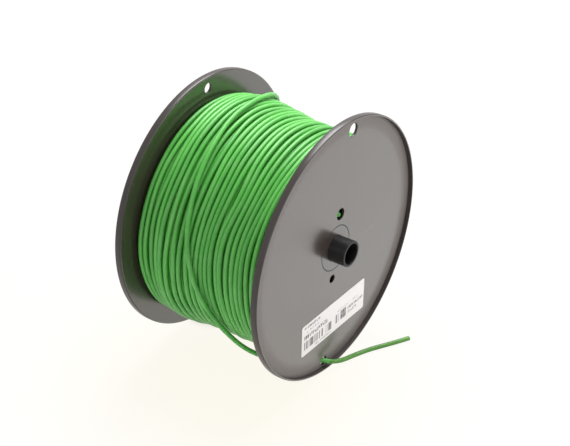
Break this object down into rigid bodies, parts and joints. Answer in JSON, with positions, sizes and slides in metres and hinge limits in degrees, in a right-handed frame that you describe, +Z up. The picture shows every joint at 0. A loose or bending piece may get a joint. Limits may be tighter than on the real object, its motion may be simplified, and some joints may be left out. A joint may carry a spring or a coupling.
{
  "type": "wire_spool",
  "caption": "Round plastic reel of green insulated copper wire, with a black axle tube through its hub and the wire's free end led out through the front flange.",
  "frame": {"origin": "on the axle line, midway between the two flanges", "axes": "Y along the axle, front flange with the label toward -Y; +Z up; +X to the right seen from the front; the rims stand on Z = -0.080"},
  "size_m": [0.16, 0.1321, 0.16],
  "materials": {
    "flange_plastic": "satin",
    "tube_plastic": "satin",
    "label_paper": "matte",
    "wire_insulation": "satin",
    "copper": "brushed"
  },
  "bodies": {
    "spool": {"front_flange": "flange_plastic", "rear_flange": "flange_plastic", "barrel": "flange_plastic", "front_hub_bush": "flange_plastic", "rear_hub_bush": "flange_plastic", "label": "label_paper", "inner_windings": "wire_insulation", "outer_winding": "wire_insulation", "wire_tail": "wire_insulation", "tail_conductor": "copper", "start_lead": "wire_insulation"},
    "axle": {"axle_tube": "tube_plastic"}
  },
  "joints": [
    {"name": "axle_turn", "type": "hinge", "parent": "spool", "child": "axle", "pos_m": [0, 0, 0], "axis": [0, 1, 0], "continuous": true}
  ]
}
